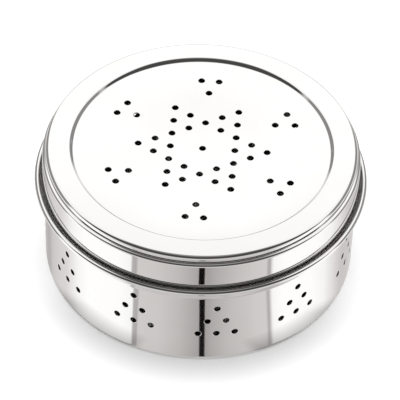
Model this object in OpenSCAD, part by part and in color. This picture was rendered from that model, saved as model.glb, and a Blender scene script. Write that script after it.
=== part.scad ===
// Round stainless steel spice box (masala dabba) with a perforated wall, a perforated lift-off lid,
// seven loose cups and a small spoon. Millimetres, +Z up. The origin is the middle of the resting face.

/* [Steel sheet] */
// Thickness of the box and lid sheet
sheet = 0.7; // [0.5:0.1:0.9]
// Thickness of the cup and spoon sheet
thin_sheet = 0.6; // [0.5:0.1:0.8]
// Diameter of every punched hole
hole_d = 4; // [3:0.1:4.5]

/* [Box body] */
// Outer radius of the drum wall
wall_r = 94.2; // [90:0.1:110]
// Radius of the edge between the base and the wall
base_edge_r = 3.5; // [2:0.5:6]
// Height where the wall starts to flare out to the rim
flare_z = 51.7; // [51:0.1:54]
// Radius to the middle of the curled rim, past the wall
rim_reach = 4.3; // [4:0.1:5]
// Height of the middle of the curled rim
rim_z = 62.7; // [62:0.1:64]
// Radius of the rim's curl
curl_r = 1.5; // [1.3:0.1:1.6]
// How much narrower than the wall the neck under the lid is
neck_step = 0.6; // [0.6:0.1:1.5]
// Height of the neck's plain top edge, which the lid's shoulder rests on
neck_z = 81.2; // [78:0.1:81.2]

/* [Holes in the wall] */
// Number of triangular groups of six holes
group_count = 11; // [8:1:11]
// Direction of the first group, from +X towards +Y
group_start = -145.3; // [-180:0.1:180]
// Angle between the five groups on the front
group_pitch = 31.4; // [30:0.1:33]
// Number of groups on the front
front_groups = 5; // [4:1:6]
// Height of the single hole at the top of a group
group_top_z = 44.4; // [40:0.1:46]
// Distance down from one row of a group to the next
row_drop = 10.5; // [8:0.1:11]
// Angle between neighbouring holes of one row
row_pitch = 6.65; // [5:0.05:7]
// How far the second group is punched out of step, round the wall
slip_turn = 1; // [0:0.1:2]
// How far the second group is punched out of step, up the wall
slip_rise = 1.9; // [0:0.1:2]

/* [Lid] */
// Height of the top of the sunken middle panel
panel_z = 84.4; // [83:0.1:86]
// Radius of the sunken panel
panel_r = 77; // [70:0.1:80]
// How far the panel is sunk below the flat border
recess = 1.8; // [1:0.1:2.5]
// Radius of the border's outer side
border_r = 92.6; // [90:0.1:93]
// Radius that the border's outer edge is rounded to
border_edge_r = 2.3; // [1:0.1:3]
// Outer radius of the lid's skirt at its top
skirt_top_r = 95; // [94.8:0.1:96]
// Outer radius of the lid's skirt at its lower edge
skirt_foot_r = 95.7; // [95.5:0.1:96.2]
// Height of the lid's lower edge
skirt_foot_z = 61.7; // [61.2:0.1:62.2]

/* [Holes in the lid] */
// How far the pattern's middle is off the lid's middle, along X
pattern_x = 0.46; // [0:0.01:0.6]
// How far the pattern's middle is off the lid's middle, along Y
pattern_y = 0.5; // [0:0.01:0.6]
// Distance between neighbouring holes along the star's lines
star_pitch = 11.14; // [9:0.01:11.5]
// Direction of the star's first tip, from +X towards +Y
star_turn = -3.3; // [-30:0.1:30]
// Radius of the inner hole of each outlying group of three
trio_inner_r = 48.4; // [46:0.1:52]
// Radius of the two outer holes of each outlying group
trio_outer_r = 59.3; // [57:0.1:64]
// Angle from a group's middle to each of its outer holes
trio_spread = 5.2; // [4.8:0.1:7]

/* [Cups] */
// Number of cups around the middle one
cup_count = 6; // [6:1:6]
// Radius of the ring that the outer cups stand on
cup_ring_r = 60.2; // [60:0.1:62]
// Direction of the first outer cup, from +X towards +Y
cup_start = 30; // [30:60:330]
// Outer radius over a cup's curled rim
cup_r = 29; // [27:0.1:29.3]
// Radius of a cup's wall at its base
cup_base_r = 25; // [22:0.5:25.5]
// Height of a cup
cup_h = 45; // [38:0.5:48]
// Radius of a cup's rim curl
cup_curl_r = 1.1; // [0.9:0.1:1.3]
// Radius of the edge between a cup's base and its wall
cup_edge_r = 4; // [3:0.5:6]

/* [Spoon] */
// Outer radius of the spoon's bowl
bowl_r = 10.5; // [9:0.5:11]
// Depth of the spoon's bowl
bowl_depth = 5; // [4:0.5:6]
// Length of the spoon from the middle of its bowl to its end
spoon_reach = 64; // [55:1:66]
// Width of the spoon's handle
handle_w = 5; // [4:0.5:5]
// Angle at which the spoon leans
spoon_lean = 46; // [46:1:50]

/* [Hidden] */
$fn = 96;
hole_fn = 24;
// Largest turn between two points of an arc
arc_step = 20;
// Air left between two pieces that rest on one another
rest_gap = 0.3;
rim_r = wall_r + rim_reach;
neck_r = wall_r - neck_step;
border_z = panel_z + recess;
recess_slope = 1.5;
// The crease under the border's outer side, and the rounded edge of the ledge between it and the skirt
crease_r = border_r + 0.3;
crease_z = border_z - 3.7;
skirt_top_z = border_z - 5;
ledge_edge_r = 0.8;
cup_floor_z = sheet + rest_gap;
cup_wall_r = cup_r - 2 * cup_curl_r + 0.4;
cup_inside_z = cup_floor_z + thin_sheet;
// The middle of the spoon's bowl, seen from the middle of its cup
bowl_x = -8.5;
bowl_z = cup_inside_z + 9.6;
steel = [0.80, 0.80, 0.81];
bright_steel = [0.86, 0.86, 0.87];

// Points on an arc about c from angle a to angle b; ry stretches it to an ellipse
function arc(c, r, a, b, ry = 0) =
    let (steps = ceil(abs(b - a) / arc_step))
        [
            for (i = [0:steps])
                let (t = a + (b - a) * i / steps)
                    [c[0] + r * cos(t), c[1] + (ry == 0 ? r : ry) * sin(t)]
        ];

function unit(v) = v / norm(v);

// The normal to the right of the way from p to q
function right_of(p, q) = let (d = unit(q - p)) [d[1], -d[0]];

// The outline p moved by t to its right, with mitred corners and square ends
function beside(p, t) = [
    for (i = [0:len(p) - 1])
        let (
            n1 = right_of(p[max(i - 1, 0)], p[max(i, 1)]),
            n2 = right_of(p[min(i, len(p) - 2)], p[min(i + 1, len(p) - 1)])
        )
            p[i] + t * (n1 + n2) / (1 + n1 * n2)
];

function backwards(p) = [for (i = [len(p) - 1:-1:0]) p[i]];

// A spun sheet of thickness t, whose outer face is the outline p from the axis outwards
module spun(p, t) {
    rotate_extrude() polygon(concat(p, backwards(beside(p, t))));
}

// A drill along the radius at this direction and height
module wall_drill(direction, z) {
    rotate([0, 0, direction])
        translate([wall_r - 4, 0, z])
            rotate([0, 90, 0]) cylinder(d = hole_d, h = 8, $fn = hole_fn);
}

// A drill straight down through the lid
module lid_drill(r, direction) {
    rotate([0, 0, direction])
        translate([r, 0, panel_z - 4]) cylinder(d = hole_d, h = 8, $fn = hole_fn);
}

// The front groups keep the front pitch, and the others share the rest of the circle evenly
function group_direction(i) =
    let (
        front = (front_groups - 1) * group_pitch,
        back_pitch = (360 - front) / (group_count - front_groups + 1)
    )
        group_start + (i < front_groups ? i * group_pitch : front + (i - front_groups + 1) * back_pitch);

// Six holes in rows of one, two and three
module wall_group(direction, rise = 0) {
    for (row = [0:2])
        for (k = [0:row])
            wall_drill(direction + (k - row / 2) * row_pitch, group_top_z + rise - row * row_drop);
}

// Base, wall, flare and curled rim, and inside the flare the neck that the lid slides over
module box_body() {
    flare_h = rim_z - curl_r - flare_z;
    // The flare's inner face and the neck leave a deep groove between them
    groove = arc([rim_r, flare_z], rim_reach + sheet, 110, 164, flare_h + sheet);
    outside = concat(
        [[0, 0]],
        arc([wall_r - base_edge_r, base_edge_r], base_edge_r, -90, 0),
        arc([rim_r, flare_z], rim_reach, 180, 90, flare_h),
        arc([rim_r, rim_z], curl_r, -60, 200),
        groove,
        [[neck_r, groove[len(groove) - 1][1]], [neck_r, neck_z]]
    );
    inside = concat(
        [[neck_r - sheet, neck_z], [neck_r - sheet, flare_z + 1.5], [wall_r - sheet, flare_z]],
        arc([wall_r - base_edge_r, base_edge_r], base_edge_r - sheet, 0, -90),
        [[0, sheet]]
    );
    color(steel)
        difference() {
            rotate_extrude() polygon(concat(outside, inside));
            for (i = [0:group_count - 1])
                wall_group(group_direction(i) + (i == 1 ? slip_turn : 0), i == 1 ? slip_rise : 0);
        }
}

// The centre hole, and two crossed triangles of holes that make a six-pointed star
module star_drills() {
    lid_drill(0, 0);
    side = 6 * star_pitch;
    tip_r = side / sqrt(3);
    for (k = [0:5]) {
        tip = tip_r * [cos(star_turn + 60 * k), sin(star_turn + 60 * k)];
        heading = star_turn + 60 * k - 150;
        // The tip and three holes down one of its sides: the rest belong to the next tips
        for (step = [0, 1, 2, 3, 5])
            translate(concat(tip + step * star_pitch * [cos(heading), sin(heading)], panel_z - 4))
                cylinder(d = hole_d, h = 8, $fn = hole_fn);
    }
}

module trio_drills() {
    for (k = [0:5]) {
        direction = star_turn + 30 + 60 * k;
        lid_drill(trio_inner_r, direction);
        for (side = [-1, 1]) lid_drill(trio_outer_r, direction + side * trio_spread);
    }
}

// Sunken panel, flat border, stepped shoulder and skirt, pressed from one sheet
module lid() {
    outside = concat(
        [[0, panel_z], [panel_r, panel_z], [panel_r + recess_slope, border_z]],
        arc([border_r - border_edge_r, border_z - border_edge_r], border_edge_r, 90, 12),
        [[crease_r, crease_z]],
        arc([skirt_top_r - ledge_edge_r, skirt_top_z], ledge_edge_r, 74, 0),
        [[skirt_foot_r, skirt_foot_z]]
    );
    color(bright_steel)
        difference() {
            spun(outside, sheet);
            translate([pattern_x, pattern_y, 0]) {
                star_drills();
                trio_drills();
            }
        }
}

// An open cup with a curled rim, standing at this place in the box
module cup(place) {
    rim_mid = [cup_r - cup_curl_r, cup_floor_z + cup_h - cup_curl_r];
    outside = concat(
        [[0, cup_floor_z]],
        arc([cup_base_r - cup_edge_r, cup_floor_z + cup_edge_r], cup_edge_r, -90, -8),
        [[cup_wall_r, rim_mid[1] - cup_curl_r]],
        arc(rim_mid, cup_curl_r, -60, 160)
    );
    inside = [
        [cup_wall_r - thin_sheet, rim_mid[1]],
        [cup_wall_r - thin_sheet, rim_mid[1] - cup_curl_r]
    ];
    foot = arc(
        [cup_base_r - cup_edge_r, cup_floor_z + cup_edge_r], cup_edge_r - thin_sheet, -8, -90
    );
    color(steel)
        translate(place)
            rotate_extrude() polygon(concat(outside, inside, foot, [[0, cup_inside_z]]));
}

function ring_place(i) =
    let (direction = cup_start + 360 * i / cup_count)
        cup_ring_r * [cos(direction), sin(direction), 0];

module cup_center() { cup([0, 0, 0]); }
module cup_1() { cup(ring_place(0)); }
module cup_2() { cup(ring_place(1)); }
module cup_3() { cup(ring_place(2)); }
module cup_4() { cup(ring_place(3)); }
module cup_5() { cup(ring_place(4)); }
module cup_6() { cup(ring_place(5)); }

// A small round-bowled spoon that leans in the middle cup, its handle over the gap between two cups
module spoon() {
    ball_r = (bowl_r * bowl_r + bowl_depth * bowl_depth) / (2 * bowl_depth);
    color(bright_steel)
        translate([bowl_x, 0, bowl_z])
            rotate([0, -spoon_lean, 0]) {
                difference() {
                    translate([0, 0, ball_r - bowl_depth]) sphere(r = ball_r);
                    translate([0, 0, ball_r - bowl_depth]) sphere(r = ball_r - 2 * thin_sheet);
                    translate([-50, -50, 0]) cube([100, 100, 100]);
                }
                translate([bowl_r - 1.2, 0, -2 * thin_sheet])
                    linear_extrude(2 * thin_sheet) {
                        translate([0, -handle_w / 2]) square([spoon_reach - bowl_r, handle_w]);
                        translate([spoon_reach - bowl_r, 0]) circle(d = handle_w);
                    }
            }
}

box_body();
lid();
cup_center();
cup_1();
cup_2();
cup_3();
cup_4();
cup_5();
cup_6();
spoon();
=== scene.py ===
import math

import bpy
from mathutils import Euler, Matrix, Vector
from mathutils.geometry import delaunay_2d_cdt


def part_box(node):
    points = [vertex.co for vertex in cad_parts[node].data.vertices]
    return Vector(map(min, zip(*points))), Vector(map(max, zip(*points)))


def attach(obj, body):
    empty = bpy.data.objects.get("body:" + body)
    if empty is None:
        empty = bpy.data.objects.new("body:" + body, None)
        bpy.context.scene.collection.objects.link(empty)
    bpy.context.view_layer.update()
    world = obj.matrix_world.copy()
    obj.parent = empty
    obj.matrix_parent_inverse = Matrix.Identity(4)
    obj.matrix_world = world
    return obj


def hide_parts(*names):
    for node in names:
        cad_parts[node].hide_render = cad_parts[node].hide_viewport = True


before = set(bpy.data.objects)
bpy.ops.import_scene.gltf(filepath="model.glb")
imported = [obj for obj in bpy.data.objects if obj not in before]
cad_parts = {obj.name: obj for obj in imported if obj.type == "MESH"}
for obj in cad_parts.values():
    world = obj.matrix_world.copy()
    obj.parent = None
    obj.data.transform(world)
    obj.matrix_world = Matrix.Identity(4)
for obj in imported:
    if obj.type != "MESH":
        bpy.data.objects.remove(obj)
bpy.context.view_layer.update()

# ---------------------------------------------------------------- measures, in millimetres
MM = 0.001
box_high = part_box("box_body")[1] / MM
lid_low, lid_high = (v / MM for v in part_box("lid"))

SHEET = 0.7                      # box and lid
RIM_R = box_high.x               # over the curled rim
CURL_R = 1.5
RIM_MID_R = RIM_R - CURL_R
RIM_IN_R = RIM_R - 2 * CURL_R
WALL_R = RIM_R - 5.8
NECK_R = WALL_R - 0.6
NECK_TOP = box_high.z
SKIRT_FOOT_Z = lid_low.z
RIM_MID_Z = SKIRT_FOOT_Z + 1.0
RIM_TOP = RIM_MID_Z + CURL_R - 0.15
RIM_UNDER = RIM_MID_Z - CURL_R
FLARE_Z = RIM_MID_Z - 11.0       # where the wall starts to flare out to the rim
BASE_EDGE_R = 3.5
PUNCHED_LOW, PUNCHED_HIGH = 17.0, 51.0   # the band of wall that holds the holes
WALL_ROWS = 11                   # rows of faces in that band

BORDER_Z = lid_high.z
PANEL_Z = BORDER_Z - 1.8
PANEL_R = 76.0                   # flat up to here, then it turns up
DISH = 1.0                       # how much lower the panel's middle is
BORDER_R = 93.35                 # the lid's upper edge
CREASE_R, CREASE_Z = 92.9, BORDER_Z - 4.5
SKIRT_TOP_R, SKIRT_TOP_Z = 94.97, BORDER_Z - 5.1
SKIRT_FOOT_R = lid_high.x + 0.15
SKIRT_BEND_R, SKIRT_BEND_Z = lid_high.x - 0.16, SKIRT_FOOT_Z + 6.0   # it widens a little below this

HOLE_R = 2.0
LIP_W, LIP_D = 0.3, 0.22         # the rounded lip that a punch leaves
LIP_STEPS, HOLE_POINTS = 3, 24
CLEAR_OF_LIP = 0.7               # no filling points nearer to a lip than this
FILL_RINGS, FILL_PITCH, FILL_STEP = 20, 3.75, 4   # rings of filling points over the lid's panel

TURNS = 240                      # sides of the big spun shells
CUP_TURNS = 120
ARC_STEP = math.radians(11)


# ---------------------------------------------------------------- mesh kit
class Skin:
    """Faces with an exact normal at each corner, welded where their corners meet."""

    def __init__(self):
        self.points, self.index = [], {}
        self.faces, self.normals, self.slots = [], [], []

    def vertex(self, p):
        key = (round(p.x * 1e4), round(p.y * 1e4), round(p.z * 1e4))
        if key not in self.index:
            self.index[key] = len(self.points)
            self.points.append(p * MM)
        return self.index[key]

    def face(self, corners, slot=0):
        """corners: (point in mm, normal) pairs, in either turning direction."""
        ids = [self.vertex(p) for p, _ in corners]
        keep = [k for k in range(len(ids)) if ids[k] != ids[k - 1]]
        if len({ids[k] for k in keep}) < 3:
            return
        points = [corners[k][0] for k in keep]
        normals = [corners[k][1] for k in keep]
        ids = [ids[k] for k in keep]
        facing = (points[1] - points[0]).cross(points[2] - points[0])
        if len(points) == 4:
            facing += (points[2] - points[0]).cross(points[3] - points[0])
        if facing.dot(sum(normals, Vector())) < 0:
            ids.reverse()
            normals.reverse()
        self.faces.append(ids)
        self.normals += normals
        self.slots.append(slot)

    def build(self, name, *materials):
        mesh = bpy.data.meshes.new(name)
        mesh.from_pydata(self.points, [], self.faces)
        mesh.polygons.foreach_set("use_smooth", [True] * len(self.faces))
        mesh.polygons.foreach_set("material_index", self.slots)
        mesh.normals_split_custom_set([tuple(n) for n in self.normals])
        for m in materials:
            mesh.materials.append(m)
        obj = bpy.data.objects.new(name, mesh)
        bpy.context.scene.collection.objects.link(obj)
        return obj


def left_of(d):
    return Vector((-d.y, d.x))


def rounded(corners):
    """Samples (point, normal) along an outline of (r, z, fillet) corners. Its outside is on the left."""
    spots = [Vector(c[:2]) for c in corners]
    ways = [(q - p).normalized() for p, q in zip(spots, spots[1:])]
    turns = [math.atan2(d.x * e.y - d.y * e.x, d.dot(e)) for d, e in zip(ways, ways[1:])]
    # How far each fillet reaches along its two sides, and how much of that the sides have room for
    reach = [0, *(c[2] * math.tan(abs(turn) / 2) for c, turn in zip(corners[1:], turns)), 0]
    fits = [
        (q - p).length / max(near + far, 1e-6)
        for p, q, near, far in zip(spots, spots[1:], reach, reach[1:])
    ]
    samples = [(spots[0], left_of(ways[0]))]
    for i in range(1, len(spots) - 1):
        before, after, turn = ways[i - 1], ways[i], turns[i - 1]
        half = math.tan(abs(turn) / 2)
        fillet = corners[i][2] * min(1, fits[i - 1], fits[i])
        if fillet < 0.01 or half < 1e-6:
            samples += [(spots[i], left_of(before)), (spots[i], left_of(after))]
            continue
        sign = math.copysign(1, turn)
        start = spots[i] - before * fillet * half
        centre = start + left_of(before) * fillet * sign
        steps = max(2, math.ceil(abs(turn) / ARC_STEP))
        for k in range(steps + 1):
            normal = left_of(before).copy()
            normal.rotate(Matrix.Rotation(turn * k / steps, 2))
            samples.append((centre - normal * fillet * sign, normal))
    samples.append((spots[-1], left_of(ways[-1])))
    return samples


def underside(corners, thick):
    """The other face of a sheet whose outer face is this outline, from its end back to its start."""
    spots = [Vector(c[:2]) for c in corners]
    ways = [(q - p).normalized() for p, q in zip(spots, spots[1:])]
    out = []
    for i, spot in enumerate(spots):
        before, after = ways[max(i - 1, 0)], ways[min(i, len(ways) - 1)]
        mitre = (left_of(before) + left_of(after)) / (1 + before.dot(after))
        convex = before.x * after.y - before.y * after.x < 0
        fillet = max(corners[i][2] + (-thick if convex else thick), 0.02)
        p = spot - mitre * thick
        out.append((p.x, p.y, fillet))
    return out[::-1]


def spin(skin, samples, turns, middle=Vector((0, 0, 0)), slot=0):
    """Faces of revolution about the upright line through middle."""
    around = [
        Vector((math.cos(a), math.sin(a), 0))
        for a in (2 * math.pi * k / turns for k in range(turns))
    ]
    up = Vector((0, 0, 1))
    for (p, n), (q, m) in zip(samples, samples[1:]):
        if (p - q).length < 1e-6:
            continue
        for k in range(turns):
            a, b = around[k], around[(k + 1) % turns]
            skin.face(
                [
                    (middle + a * p.x + up * p.y, a * n.x + up * n.y),
                    (middle + b * p.x + up * p.y, b * n.x + up * n.y),
                    (middle + b * q.x + up * q.y, b * m.x + up * m.y),
                    (middle + a * q.x + up * q.y, a * m.x + up * m.y),
                ],
                slot,
            )


def lip_profile():
    """(distance out from the edge, depth, and the normal's parts across and out of the sheet)"""
    for k in range(LIP_STEPS + 1):
        t = math.pi / 2 * k / LIP_STEPS
        normal = Vector((-LIP_D * math.cos(t), LIP_W * math.sin(t))).normalized()
        yield LIP_W * (1 - math.cos(t)), LIP_D * (1 - math.sin(t)), normal.x, normal.y


def punched(skin, outer, fill, holes, lie, thick):
    """A sheet with round punched holes. outer, fill and holes are flat points; lie(u, v) bends the flat
    sheet into place: it gives a point of its face, and the directions of u, v and the face's normal."""
    flat, edges, facts = [], [], []
    keep_off = HOLE_R + LIP_W + CLEAR_OF_LIP
    for p in [*outer, *[f for f in fill if all((f - h).length > keep_off for h in holes)]]:
        flat.append(p)
        facts.append((0, 0, 0, 1, None))
    for h, hole in enumerate(holes):
        for ring, (out, depth, across, along) in enumerate(lip_profile()):
            first = len(flat)
            for k in range(HOLE_POINTS):
                a = 2 * math.pi * k / HOLE_POINTS
                way = Vector((math.cos(a), math.sin(a)))
                flat.append(hole + way * (HOLE_R + out))
                facts.append((depth, across * way.x, across * way.y, along, h if ring == 0 else None))
                edges.append((first + k, first + (k + 1) % HOLE_POINTS))
    spots, _, faces, origins, _, _ = delaunay_2d_cdt(flat, edges, [], 0, 1e-5, True)
    front, back, edge_of = [], [], []
    for spot, origin in zip(spots, origins):
        depth, nu, nv, nn, hole = facts[origin[0]]
        point, u, v, n = lie(spot.x, spot.y)
        front.append((point - n * depth, u * nu + v * nv + n * nn))
        back.append((point - n * thick, -n))
        edge_of.append(hole)
    for f in faces:
        rims = {edge_of[i] for i in f}
        if len(rims) == 1 and None not in rims:
            continue
        skin.face([front[i] for i in f])
        skin.face([back[i] for i in f])
    for hole in holes:
        ring = []
        for k in range(HOLE_POINTS):
            a = 2 * math.pi * k / HOLE_POINTS
            point, u, v, n = lie(hole.x + HOLE_R * math.cos(a), hole.y + HOLE_R * math.sin(a))
            inward = -(u * math.cos(a) + v * math.sin(a))
            ring.append((point - n * LIP_D, point - n * thick, inward))
        for k in range(HOLE_POINTS):
            (p, q, n), (r, s, m) = ring[k], ring[(k + 1) % HOLE_POINTS]
            skin.face([(p, n), (r, m), (s, m), (q, n)], 1)


# ---------------------------------------------------------------- hole patterns
GROUPS, FRONT_GROUPS = 11, 5
GROUP_START, GROUP_PITCH = math.radians(-145.3), math.radians(31.4)
FRONT_TURN = (FRONT_GROUPS - 1) * GROUP_PITCH
BACK_PITCH = (2 * math.pi - FRONT_TURN) / (GROUPS - FRONT_GROUPS + 1)    # closes the ring behind
GROUP_TOP_Z, ROW_DROP, ROW_PITCH = 44.4, 10.5, math.radians(6.65)
SLIPPED_GROUP, SLIP_TURN, SLIP_RISE = 1, math.radians(1), 1.9   # one group is punched out of step
PATTERN_MIDDLE = Vector((0.46, 0.5))     # and the lid's pattern is a little off its middle
STAR_PITCH, STAR_TURN = 11.14, math.radians(-3.3)
TRIO_INNER_R, TRIO_OUTER_R, TRIO_SPREAD = 48.4, 59.3, math.radians(5.2)


def wall_holes():
    """(direction, height) of every hole in the wall: triangles of one, two and three holes."""
    for i in range(GROUPS):
        turn = i * GROUP_PITCH if i < FRONT_GROUPS else FRONT_TURN + (i - FRONT_GROUPS + 1) * BACK_PITCH
        slip = i == SLIPPED_GROUP
        for row in range(3):
            for k in range(row + 1):
                a = GROUP_START + turn + slip * SLIP_TURN + (k - row / 2) * ROW_PITCH
                yield a, GROUP_TOP_Z + slip * SLIP_RISE - row * ROW_DROP


def lid_holes():
    """Flat places of the lid's holes: the middle, a six-pointed star, six outlying groups of three."""
    def at(r, a):
        return Vector((r * math.cos(a), r * math.sin(a)))

    yield Vector((0, 0))
    for k in range(6):
        tip = at(6 * STAR_PITCH / math.sqrt(3), STAR_TURN + k * math.pi / 3)
        heading = at(1, STAR_TURN + k * math.pi / 3 - math.radians(150))
        for step in (0, 1, 2, 3, 5):
            yield tip + heading * step * STAR_PITCH
        middle = STAR_TURN + (k + 0.5) * math.pi / 3
        yield at(TRIO_INNER_R, middle)
        yield at(TRIO_OUTER_R, middle - TRIO_SPREAD)
        yield at(TRIO_OUTER_R, middle + TRIO_SPREAD)


# ---------------------------------------------------------------- materials
class Nodes:
    """Short ways to add shader nodes to a tree."""

    def __init__(self, tree):
        self.tree = tree
        tree.nodes.clear()

    def add(self, kind, inputs=None, **settings):
        node = self.tree.nodes.new(kind)
        for key, value in settings.items():
            setattr(node, key, value)
        for key, value in (inputs or {}).items():
            if isinstance(value, bpy.types.NodeSocket):
                self.tree.links.new(value, node.inputs[key])
            else:
                node.inputs[key].default_value = value
        return node

    def math(self, operation, *values):
        node = self.add("ShaderNodeMath", dict(enumerate(values)), operation=operation)
        return node.outputs[0]

    def ramp(self, value, low, high, to_low=0.0, to_high=1.0, kind="SMOOTHSTEP"):
        node = self.add(
            "ShaderNodeMapRange",
            {"Value": value, "From Min": low, "From Max": high, "To Min": to_low, "To Max": to_high},
            interpolation_type=kind,
        )
        return node.outputs["Result"]

    def noise(self, vector, scale, detail=3.0, rough=0.5):
        node = self.add(
            "ShaderNodeTexNoise",
            {"Vector": vector, "Scale": scale, "Detail": detail, "Roughness": rough},
        )
        return node.outputs["Fac"]

    def mix(self, share, a, b):
        node = self.add(
            "ShaderNodeMix", {0: share, 6: a, 7: b}, data_type="RGBA", clamp_factor=True
        )
        return node.outputs[2]


def steel(name, tint, rough, rough_spread, marks, wave, centre=(0, 0), metallic=1.0):
    """Stainless steel spun or buffed on a lathe about an upright line through centre. marks is how deep
    its fine ring-shaped polishing lines are, and wave how deep its slow unevenness, all in metres."""
    material = bpy.data.materials.new(name)
    material.use_nodes = True
    n = Nodes(material.node_tree)
    where = n.add("ShaderNodeTexCoord").outputs["Object"]
    axis = n.add("ShaderNodeVectorMath", {0: where, 1: (centre[0], centre[1], 0)}, operation="SUBTRACT")
    part = n.add("ShaderNodeSeparateXYZ", {0: axis.outputs[0]}).outputs
    squares = [n.math("MULTIPLY", part[k], part[k]) for k in (0, 1)]
    radius = n.math("SQRT", n.math("ADD", *squares))
    turn = n.math("ARCTAN2", part[1], part[0])
    # Polishing lines run round the axis: fine across radius and height, long along the turn
    scaled = [n.math("MULTIPLY", v, f) for v, f in ((radius, 9000.0), (turn, 5.0), (part[2], 9000.0))]
    round_way = n.add("ShaderNodeCombineXYZ", dict(enumerate(scaled))).outputs[0]
    lines = n.noise(round_way, 0.35, 2.0)
    smears = n.noise(where, 38.0, 4.0, 0.6)
    specks = n.noise(where, 420.0, 2.0)
    level = n.ramp(smears, 0.35, 0.75, rough - rough_spread, rough + rough_spread, "LINEAR")
    level = n.math("ADD", level, n.math("MULTIPLY", n.math("SUBTRACT", lines, 0.5), rough_spread * 1.2))
    level = n.math("ADD", level, n.ramp(specks, 0.66, 0.8, 0.0, rough_spread))
    height = n.math(
        "ADD",
        n.math("MULTIPLY", lines, marks),
        n.math("MULTIPLY", n.noise(where, 26.0, 1.0), wave),
    )
    bump = n.add("ShaderNodeBump", {"Height": height, "Strength": 1.0, "Distance": 1.0})
    shade = n.mix(
        n.ramp(smears, 0.3, 0.8),
        (*tint, 1),
        (tint[0] * 0.985, tint[1] * 0.98, tint[2] * 0.97, 1),
    )
    bsdf = n.add(
        "ShaderNodeBsdfPrincipled",
        {"Base Color": shade, "Metallic": metallic, "Roughness": level, "Normal": bump.outputs[0]},
    )
    n.add("ShaderNodeOutputMaterial", {"Surface": bsdf.outputs[0]})
    return material


mirror = steel("mirror_steel", (0.82, 0.815, 0.81), 0.045, 0.014, 1.2e-8, 6e-7)
cut_edge = steel("cut_edge_steel", (0.62, 0.61, 0.60), 0.28, 0.06, 2e-7, 0)
# Duller, darker steel for the deep fold under the rim: partly the fold's unbuffed finish, partly painted
# shade that keeps the crease dark
unbuffed_fold_shade = steel("unbuffed_fold_shade_steel", (0.66, 0.64, 0.635), 0.42, 0.05, 0, 0, metallic=0.6)
spoon_steel = steel("spoon_steel", (0.80, 0.795, 0.79), 0.14, 0.04, 3e-8, 8e-7)


# ---------------------------------------------------------------- the box body
def make_box():
    skin = Skin()
    inner = WALL_R - SHEET
    floor_and_wall = [
        (0, SHEET, 0), (inner, SHEET, BASE_EDGE_R - SHEET), (inner, PUNCHED_LOW, 0)
    ]
    neck = [
        (inner, PUNCHED_HIGH, 0),
        (inner, FLARE_Z + 0.2, 1.0),
        (NECK_R - SHEET, FLARE_Z + 1.8, 1.0),
        (NECK_R - SHEET, NECK_TOP, 0.3),
        (NECK_R, NECK_TOP, 0.3),
        (NECK_R, RIM_MID_Z - 2.0, 0),
    ]
    # The deep fold between the neck and the inner face of the flare, in the darker steel that paints its
    # shade
    fold = [
        (NECK_R, RIM_MID_Z - 2.0, 0),
        (NECK_R, FLARE_Z + 5.6, 0.1),
        (WALL_R + 0.7, RIM_UNDER - 1.3, 3.0),
        (RIM_IN_R, RIM_UNDER + 0.4, 1.0),
        (RIM_IN_R, RIM_MID_Z, 0),
    ]
    # The curl, a crease under it, and the fine step where the flare begins
    rim = [
        (RIM_IN_R, RIM_MID_Z, 0),
        (RIM_IN_R, RIM_TOP, 1.15),
        (RIM_R, RIM_TOP, 2.0),
        (RIM_R, RIM_UNDER, 0.95),
        (RIM_MID_R - 0.3, RIM_UNDER, 0.7),
        (RIM_MID_R - 0.55, RIM_UNDER + 0.5, 0.05),
        (RIM_MID_R - 2.4, RIM_UNDER - 0.6, 1.0),
        (WALL_R + 0.1, FLARE_Z + 5.05, 0.1),
        (WALL_R + 0.57, FLARE_Z + 4.7, 0.12),
        (WALL_R, FLARE_Z + 1.5, 6.0),
        (WALL_R, PUNCHED_HIGH, 0),
    ]
    base = [(WALL_R, PUNCHED_LOW, 0), (WALL_R, 0, BASE_EDGE_R), (0, 0, 0)]
    for chain in (floor_and_wall, neck, rim, base):
        spin(skin, rounded(chain), TURNS)
    spin(skin, rounded(fold), TURNS, slot=2)

    # The punched band, unrolled: u runs round the wall from the middle of a gap between two groups
    side = 2 * math.pi / TURNS
    seam = math.floor((GROUP_START - BACK_PITCH / 2) / side) * side
    length = 2 * math.pi * WALL_R

    def lie(u, v):
        a = seam + u / WALL_R
        n = Vector((math.cos(a), math.sin(a), 0))
        return n * WALL_R + Vector((0, 0, v)), Vector((-n.y, n.x, 0)), Vector((0, 0, 1)), n

    across = [length * k / TURNS for k in range(TURNS + 1)]
    band = PUNCHED_HIGH - PUNCHED_LOW
    heights = [PUNCHED_LOW + band * k / WALL_ROWS for k in range(WALL_ROWS + 1)]
    outer = [Vector((u, v)) for v in (PUNCHED_LOW, PUNCHED_HIGH) for u in across]
    outer += [Vector((u, v)) for u in (0, length) for v in heights[1:-1]]
    fill = [Vector((u, v)) for u in across[2:-2:2] for v in heights[1:-1]]
    holes = [Vector((((a - seam) % (2 * math.pi)) * WALL_R, z)) for a, z in wall_holes()]
    punched(skin, outer, fill, holes, lie, SHEET)
    return skin.build("box_shell", mirror, cut_edge, unbuffed_fold_shade)


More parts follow.
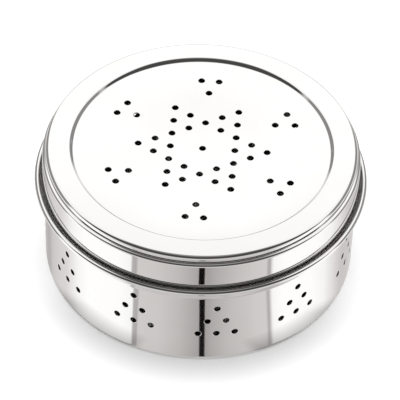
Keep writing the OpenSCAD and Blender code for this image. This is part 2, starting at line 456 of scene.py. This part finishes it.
# ---------------------------------------------------------------- the lid
def make_lid():
    skin = Skin()
    face = [
        (PANEL_R, PANEL_Z, 0),
        (PANEL_R + 1.0, PANEL_Z, 1.0),
        (PANEL_R + 2.6, BORDER_Z, 1.5),
        (BORDER_R, BORDER_Z, 2.35),
        (CREASE_R, CREASE_Z, 0.15),
        (SKIRT_TOP_R, SKIRT_TOP_Z, 1.6),
        (SKIRT_BEND_R, SKIRT_BEND_Z, 60.0),
        (SKIRT_FOOT_R, SKIRT_FOOT_Z, 0.3),
    ]
    back = underside(face, SHEET)
    back[0] = (SKIRT_FOOT_R - SHEET, SKIRT_FOOT_Z, 0.3)
    back[-1] = (PANEL_R, PANEL_Z - SHEET, 0)
    spin(skin, rounded(face + back), TURNS)

    def lie(u, v):
        share = (u * u + v * v) / PANEL_R**2
        slope = 4 * DISH * (1 - share) / PANEL_R**2
        n = Vector((-slope * u, -slope * v, 1)).normalized()
        return Vector((u, v, PANEL_Z - DISH * (1 - share) ** 2)), Vector((1, 0, 0)), Vector((0, 1, 0)), n

    def ring(r, count, shift=0.0):
        return [
            Vector((math.cos(a), math.sin(a))) * r
            for a in (2 * math.pi * (k + shift) / count for k in range(count))
        ]

    fill = ring(PANEL_R - 1.5, TURNS // 2, 0.5)
    for k in range(1, FILL_RINGS):
        r = k * FILL_PITCH
        fill += ring(r, max(12, round(2 * math.pi * r / FILL_STEP)), 0.5 * (k % 2))
    holes = [PATTERN_MIDDLE + hole for hole in lid_holes()]
    punched(skin, ring(PANEL_R, TURNS), fill, holes, lie, SHEET)
    return skin.build("lid_shell", mirror, cut_edge)


# ---------------------------------------------------------------- the cups
CUP_SHEET, CUP_CURL = 0.6, 1.1
CUP_WALL_IN, CUP_BASE_IN = 1.8, 4.0      # how far the wall and the base lie inside the rim
CUP_FINISH = (0.80, 0.795, 0.79)


def make_cup(node):
    low, high = (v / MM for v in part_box(node))
    middle = (low + high) / 2
    r, h = (high.x - low.x + high.y - low.y) / 4, high.z - low.z
    wall, base = r - CUP_WALL_IN, r - CUP_BASE_IN
    t, c = CUP_SHEET, CUP_CURL
    # Up the inside from its middle, over the curled rim, and down the outside to the raised base
    loop = [
        (0, t + 0.5, 0), (base - 7.0, t + 0.5, 1.2), (base - 8.4 + 2.0, t, 1.2), (base - t, t, 3.6),
        (wall - t, h - c, 3.0), (wall - t, h, 0.9),
        (r, h, c), (r, h - 2 * c, c), (r - 1.5 * c, h - 2 * c, 0.2),
        (wall, h - 3.2 * c, 0.8),
        (base, 0, 4.2), (base - 6.4, 0, 1.0), (base - 7.6, 0.5, 1.0), (0, 0.5, 0),
    ]
    foot = Vector((middle.x, middle.y, low.z))
    skin = Skin()
    spin(skin, rounded(loop), CUP_TURNS, foot)
    centre = (foot.x * MM, foot.y * MM)
    finish = steel(node + "_steel", CUP_FINISH, 0.16, 0.04, 4e-8, 9e-7, centre)
    return skin.build(node + "_shell", finish)


# ---------------------------------------------------------------- the spoon
BOWL_R, BOWL_DEPTH, SPOON_LEAN = 10.5, 5.0, math.radians(46)
SPOON_REACH, SPOON_THICK = 64.0, 1.0     # from the bowl's middle to the handle's tip
HANDLE_HALF, HANDLE_WIDENS, HANDLE_ARCH, TIP_ROUND = 1.9, 1.1, 0.9, 3.0
BOWL_STATIONS, HANDLE_STATIONS, SPOON_ACROSS = 18, 26, 8


def make_spoon():
    """A slab of quads along the spoon, thick all over, smoothed by subdivision."""
    def half_width(x):
        bowl = math.sqrt(max(BOWL_R**2 - x * x, 0)) if x < BOWL_R else 0
        along = (x - BOWL_R) / (SPOON_REACH - BOWL_R)
        handle = 0
        if x > 0:
            handle = HANDLE_HALF + HANDLE_WIDENS * max(along, 0) ** 1.5
            left = SPOON_REACH - x
            handle *= math.sqrt(min(1, max(left, 0) / TIP_ROUND))
        return max((bowl**6 + handle**6) ** (1 / 6), 0.35)

    def height(x, y):
        hollow = max(0, 1 - (x * x + y * y) / BOWL_R**2)
        along = min(max((x - BOWL_R) / (SPOON_REACH - BOWL_R), 0), 1)
        return -BOWL_DEPTH * hollow + HANDLE_ARCH * math.sin(math.pi * along)

    # Close together over the bowl and at the handle's tip
    stations = [-BOWL_R * math.cos(math.pi * k / 22) for k in range(BOWL_STATIONS)]
    first, left = stations[-1], SPOON_REACH - stations[-1]
    for k in range(1, HANDLE_STATIONS + 1):
        stations.append(first + left * (1 - (1 - k / HANDLE_STATIONS) ** 1.3))
    across = SPOON_ACROSS
    verts, faces = [], []
    for x in stations:
        w = half_width(x)
        for side in (0, 1):
            for k in range(across + 1):
                y = w * math.sin(math.pi / 2 * (2 * k / across - 1))
                verts.append((x, y, height(x, y) - side * SPOON_THICK))
    row = 2 * (across + 1)
    for i in range(len(stations) - 1):
        for k in range(across):
            a = i * row + k
            faces.append((a, a + row, a + row + 1, a + 1))
            b = a + across + 1
            faces.append((b, b + 1, b + row + 1, b + row))
        for a, b in ((i * row, i * row + across + 1), (i * row + across, i * row + 2 * across + 1)):
            ends = (a, b, b + row, a + row)
            faces.append(ends if a == i * row else ends[::-1])
    for i in (0, len(stations) - 1):
        for k in range(across):
            a, b = i * row + k, i * row + k + across + 1
            ends = (a, a + 1, b + 1, b)
            faces.append(ends if i == 0 else ends[::-1])
    mesh = bpy.data.meshes.new("spoon_body")
    lean = Matrix.Rotation(-SPOON_LEAN, 3, "Y")
    turned = [lean @ Vector(v) for v in verts]
    # The handle's tip goes where the CAD's is
    _, high = (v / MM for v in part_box("spoon"))
    shift = Vector((high.x - max(v.x for v in turned), 0, high.z - max(v.z for v in turned)))
    mesh.from_pydata([(v + shift) * MM for v in turned], [], faces)
    mesh.polygons.foreach_set("use_smooth", [True] * len(faces))
    mesh.materials.append(spoon_steel)
    obj = bpy.data.objects.new("spoon_body", mesh)
    bpy.context.scene.collection.objects.link(obj)
    smooth = obj.modifiers.new("smooth", "SUBSURF")
    smooth.levels = smooth.render_levels = 2
    return obj


def place(obj, body, node):
    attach(obj, body)
    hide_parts(node)


place(make_box(), "box", "box_body")
place(make_lid(), "lid", "lid")
for cup in ["cup_center"] + ["cup_%d" % i for i in range(1, 7)]:
    place(make_cup(cup), cup, cup)
place(make_spoon(), "spoon", "spoon")


# ---------------------------------------------------------------- floor
FLOOR_R, FLOOR_TURNS = 4000, 96
PAPER = 0.93
SHADOW_REACH = 0.014             # of the painted shadow that the steel sees, in metres


def make_floor():
    skin = Skin()
    spin(skin, rounded([(0, 0, 0), (300, 0, 0), (FLOOR_R, 0, 0)]), FLOOR_TURNS)
    material = bpy.data.materials.new("studio_floor")
    material.use_nodes = True
    n = Nodes(material.node_tree)
    where = n.add("ShaderNodeTexCoord").outputs["Object"]
    rough = n.ramp(n.noise(where, 30.0), 0.3, 0.7, 0.85, 0.95)
    distance = n.add("ShaderNodeVectorMath", {0: where}, operation="LENGTH").outputs["Value"]
    part = n.add("ShaderNodeSeparateXYZ", {0: where}).outputs
    wall = WALL_R * MM
    # Painted shadow: the paper's colour is a little darker in front of the box, where the box's shadow
    # falls
    shadow_in_front = n.ramp(part[1], -0.03, -0.08, 0.0, 0.15)
    painted_shadow = n.math("MULTIPLY", shadow_in_front, n.ramp(distance, wall - 0.004, wall + 0.026, 1, 0))
    paper = n.math("SUBTRACT", PAPER, painted_shadow)
    bsdf = n.add(
        "ShaderNodeBsdfPrincipled",
        {"Base Color": paper, "Roughness": rough, "Specular IOR Level": 0.0},
    )
    # In the steel the floor only shows as the box's own shadow, painted as a tinted see-through layer
    # that only reflections meet, over the studio's table: deepest either side of the table's grey
    # middle, and gone at the box's flanks
    across = n.math("ABSOLUTE", part[0])
    beside, flank = n.ramp(across, 0.032, 0.042, 0.05, 0.52), n.ramp(across, 0.079, 0.091, 1, 0)
    shadow_depth = n.math("MULTIPLY", beside, flank)
    close = n.ramp(distance, wall, wall + SHADOW_REACH, 1.0, 0.0, "LINEAR")
    shade = n.math("SUBTRACT", 1.0, n.math("MULTIPLY", shadow_depth, close))
    painted_shadow_veil = n.add("ShaderNodeBsdfTransparent", {"Color": shade})
    glossy = n.add("ShaderNodeLightPath").outputs["Is Glossy Ray"]
    both = n.add("ShaderNodeMixShader", {0: glossy, 1: bsdf.outputs[0], 2: painted_shadow_veil.outputs[0]})
    n.add("ShaderNodeOutputMaterial", {"Surface": both.outputs[0]})
    skin.build("studio_floor", material)


make_floor()


# ---------------------------------------------------------------- studio
def make_studio():
    """A white tent that only the steel sees in detail. Angles are in degrees: turn is 0 towards -Y, and
    rise is up from the horizon. The open front of the tent is dark, its ceiling and flanks are grey, and
    the table in front is grey with a dark join down its middle and a thin one at each edge."""
    world = bpy.data.worlds.new("studio")
    bpy.context.scene.world = world
    world.use_nodes = True
    n = Nodes(world.node_tree)
    part = n.add("ShaderNodeSeparateXYZ", {0: n.add("ShaderNodeTexCoord").outputs["Generated"]}).outputs
    toward = n.math("MULTIPLY", part[1], -1.0)
    turn = n.math("DEGREES", n.math("ARCTAN2", part[0], toward))
    side = n.math("ABSOLUTE", turn)
    rise = n.math("DEGREES", n.math("ARCSINE", part[2]))

    def grey(level):
        return (level, level * 0.985, level * 0.975, 1)

    # Above the horizon
    back = n.math("MULTIPLY", n.ramp(side, 148, 164), n.ramp(rise, 12, 22, 1, 0))
    flank = n.math("MULTIPLY", n.ramp(side, 88, 96), n.ramp(side, 146, 158, 1, 0))
    flank_height = n.math("MULTIPLY", n.ramp(rise, -20, -12), n.ramp(rise, 34, 42, 1, 0))
    flank = n.math("MULTIPLY", flank, flank_height)
    front = n.math("MULTIPLY", n.ramp(rise, 10, 20), n.ramp(rise, 68, 80, 1, 0))
    front = n.math("MULTIPLY", front, n.ramp(side, 84, 96, 1, 0))
    zenith = n.ramp(rise, 63, 73)
    upper = n.mix(n.ramp(rise, 43, 47), (1.25, 1.25, 1.25, 1), (1.13, 1.125, 1.125, 1))
    upper = n.mix(back, upper, grey(0.6))
    upper = n.mix(flank, upper, grey(0.30))
    upper = n.mix(zenith, upper, grey(0.33))
    low_front = n.math("MULTIPLY", n.ramp(side, 40, 76, 1, 0), n.ramp(rise, 14, 22, 1, 0))
    upper = n.mix(low_front, upper, grey(0.74))
    upper = n.mix(front, upper, grey(0.07))

    # Below it: the tones round the circle as (turn, level). The table's edges and its dark join, which
    # is a little right of its middle, lean outwards as they near the box
    near_side = n.math("MINIMUM", n.math("ADD", rise, 45.9), 0.0)
    lean = n.math("ADD", n.ramp(turn, 22, 42, 0, -3.8), n.ramp(turn, -42, -22, 1.1, 0))
    lean = n.math("MULTIPLY", near_side, lean)
    straight = n.math("SUBTRACT", turn, lean)
    tone = n.add("ShaderNodeValToRGB", {0: n.math("ADD", n.math("DIVIDE", straight, 360.0), 0.5)})
    stops = [
        (-180, 0.62), (-164, 0.55), (-150, 0.50), (-140, 0.68), (-124, 0.80), (-116, 0.83),
        (-100, 1.12), (-88, 1.22), (-58, 1.20), (-47.6, 1.12), (-46.6, 0.54), (-43.4, 0.51),
        (-42.8, 0.76), (-28, 0.73), (-12, 0.62), (0, 0.49), (8, 0.45), (12, 0.52), (28, 0.67),
        (40, 0.75), (49.2, 0.77), (49.8, 0.53), (52.8, 0.51), (53.8, 1.12), (64, 1.22), (92, 1.20),
        (108, 1.10), (124, 0.83), (134, 0.68), (148, 0.66), (164, 0.70), (180, 0.62),
    ]
    while len(tone.color_ramp.elements) < len(stops):
        tone.color_ramp.elements.new(0.5)
    for element, (angle, level) in zip(tone.color_ramp.elements, stops):
        element.position = angle / 360 + 0.5
        warm = (level, level * 0.962, level * 0.953, 1)
        element.color = warm if level < 1 else (level, level, level, 1)
    centre = n.math("SUBTRACT", 3.1, n.math("MULTIPLY", near_side, 0.95))
    off = n.math("ABSOLUTE", n.math("SUBTRACT", turn, centre))
    join = n.math("MULTIPLY", n.ramp(off, 1.9, 2.3, 1, 0), n.ramp(rise, -52, -48.2))
    table = n.mix(join, tone.outputs[0], (0.006, 0.005, 0.005, 1))
    near = n.ramp(rise, -72, -58, 1, 0)
    lower = n.mix(near, table, grey(0.64))
    belt = n.mix(n.ramp(side, 40, 76), grey(0.74), (1.2, 1.2, 1.195, 1))
    belt = n.mix(n.ramp(side, 140, 162), belt, grey(0.82))
    lower = n.mix(n.ramp(rise, -34, -22), lower, belt)

    seen = n.mix(n.ramp(rise, -24, -14), lower, upper)
    ray = n.add("ShaderNodeLightPath").outputs
    soft_light = n.mix(n.ramp(side, 70, 120), (1.36, 1.36, 1.36, 1), (2.3, 2.3, 2.3, 1))
    plain = n.mix(ray["Is Camera Ray"], soft_light, (1.0, 1.0, 1.0, 1))
    colour = n.mix(n.math("MAXIMUM", ray["Is Camera Ray"], ray["Is Diffuse Ray"]), seen, plain)
    background = n.add("ShaderNodeBackground", {"Color": colour, "Strength": 1.0})
    n.add("ShaderNodeOutputWorld", {"Surface": background.outputs[0]})


make_studio()
bpy.context.scene.view_settings.view_transform = "Standard"


# ---------------------------------------------------------------- camera
CAMERA_LIFT, CAMERA_ROLL = math.radians(44.69), math.radians(1.975)
CAMERA_AWAY, AIM_BELOW = 1.4839, 0.0312  # metres, from the aim, which is below the panel's middle
SENSOR_W, LENS = 36.0, 224.2


def make_camera():
    lift = CAMERA_LIFT
    data = bpy.data.cameras.new("camera")
    data.sensor_width = SENSOR_W
    data.lens = LENS
    data.clip_start, data.clip_end = 0.1, 20.0
    camera = bpy.data.objects.new("camera", data)
    up = Vector((0, math.sin(lift), math.cos(lift)))
    back = Vector((0, -math.cos(lift), math.sin(lift)))
    target = Vector((0, 0, PANEL_Z * MM)) - up * AIM_BELOW
    camera.location = target + back * CAMERA_AWAY
    aim = Euler((math.pi / 2 - lift, 0, 0)).to_matrix() @ Matrix.Rotation(CAMERA_ROLL, 3, "Z")
    camera.rotation_euler = aim.to_euler()
    bpy.context.scene.collection.objects.link(camera)
    bpy.context.scene.camera = camera


make_camera()

bpy.context.view_layer.update()
